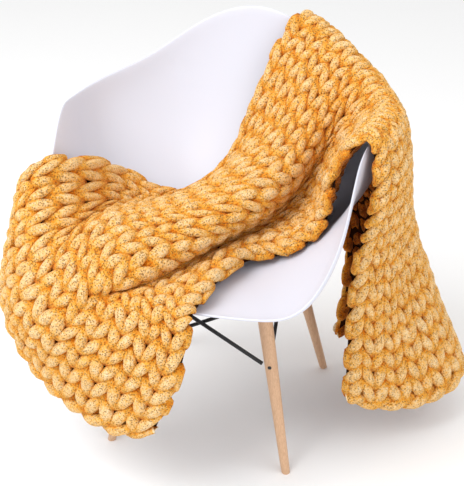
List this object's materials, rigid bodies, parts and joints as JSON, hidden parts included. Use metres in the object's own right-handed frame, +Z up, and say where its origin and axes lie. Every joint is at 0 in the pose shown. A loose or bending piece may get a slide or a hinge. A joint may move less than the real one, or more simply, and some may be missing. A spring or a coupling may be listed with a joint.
{
  "type": "chunky knit blanket draped on a tub chair",
  "caption": "Chunky chenille knit blanket draped over the arms and seat of a plain moulded tub chair on splayed wooden legs.",
  "frame": {"origin": "on the floor, under the middle of the whole object's bounding box", "axes": "+Z up; the chair faces -Y; +X is towards the arm that the blanket's tail hangs over"},
  "size_m": [0.896, 0.6646, 0.8289],
  "materials": {
    "knit": "mustard chenille yarn, hand-knitted in large stitches, soft and matt",
    "shell_plastic": "white moulded plastic, satin",
    "leg_wood": "pale wood, clear matt lacquer",
    "steel": "black powder-coated steel",
    "rubber": "black rubber"
  },
  "bodies": {
    "root": {"blanket": "knit", "chair_shell": "shell_plastic", "seat_plate": "steel", "mount_pad_1": "rubber", "mount_pad_2": "rubber", "mount_pad_3": "rubber", "mount_pad_4": "rubber", "leg_front_left": "leg_wood", "leg_front_right": "leg_wood", "leg_rear_left": "leg_wood", "leg_rear_right": "leg_wood", "brace_front_a": "steel", "brace_front_b": "steel", "brace_rear_a": "steel", "brace_rear_b": "steel", "brace_left_a": "steel", "brace_left_b": "steel", "brace_right_a": "steel", "brace_right_b": "steel"}
  },
  "joints": []
}
